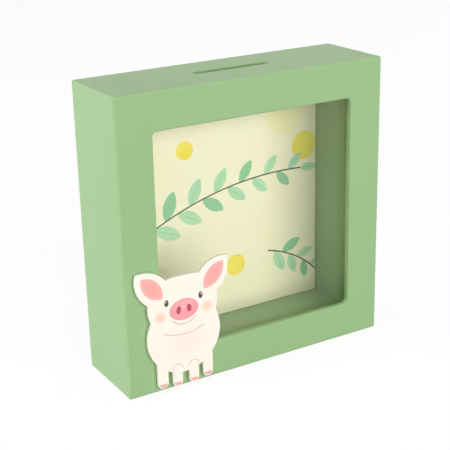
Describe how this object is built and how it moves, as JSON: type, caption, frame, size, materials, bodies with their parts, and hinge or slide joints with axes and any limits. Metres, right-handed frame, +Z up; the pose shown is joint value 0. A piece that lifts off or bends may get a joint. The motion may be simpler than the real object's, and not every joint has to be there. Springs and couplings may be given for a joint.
{
  "type": "money box",
  "caption": "Square shadow-box money box with a coin slot in its top, a glazed window, a flat pig plaque on the front and a back board held by turn buttons.",
  "frame": {"origin": "centre of the box's base, on the surface that it stands on, halfway between the ring's face and the rear rim", "axes": "+X to the right seen from the front, +Y from the window to the back board, +Z up"},
  "size_m": [0.15, 0.0505, 0.15],
  "materials": {
    "sage_paint": "satin sage-green paint on fibreboard",
    "wedge_steel": "plain steel strip",
    "pane_glass": "clear picture glass",
    "printed_card": "matt printed card",
    "hardboard": "bare hardboard",
    "plated_steel": "bright zinc plating",
    "plaque_board": "cream-painted board",
    "plaque_print": "satin printed sheet",
    "adhesive": "white foam tape"
  },
  "bodies": {
    "box": {"front_ring": "sage_paint", "top_board": "sage_paint", "bottom_board": "sage_paint", "left_board": "sage_paint", "right_board": "sage_paint", "corner_wedges": "wedge_steel", "window_pane": "pane_glass", "print_card": "printed_card", "back_board": "hardboard", "button_screws": "plated_steel", "pig_plaque": "plaque_board", "plaque_sheet": "plaque_print", "plaque_tape": "adhesive"},
    "upper_left_button": {"upper_left_button": "plated_steel"},
    "lower_left_button": {"lower_left_button": "plated_steel"},
    "upper_right_button": {"upper_right_button": "plated_steel"},
    "lower_right_button": {"lower_right_button": "plated_steel"}
  },
  "joints": [
    {"name": "upper_left_turn", "type": "hinge", "parent": "box", "child": "upper_left_button", "pos_m": [-0.0706, 0.0231, 0.115], "axis": [0, 1, 0], "continuous": true},
    {"name": "lower_left_turn", "type": "hinge", "parent": "box", "child": "lower_left_button", "pos_m": [-0.0706, 0.0231, 0.035], "axis": [0, 1, 0], "continuous": true},
    {"name": "upper_right_turn", "type": "hinge", "parent": "box", "child": "upper_right_button", "pos_m": [0.0706, 0.0231, 0.115], "axis": [0, 1, 0], "continuous": true},
    {"name": "lower_right_turn", "type": "hinge", "parent": "box", "child": "lower_right_button", "pos_m": [0.0706, 0.0231, 0.035], "axis": [0, 1, 0], "continuous": true}
  ]
}
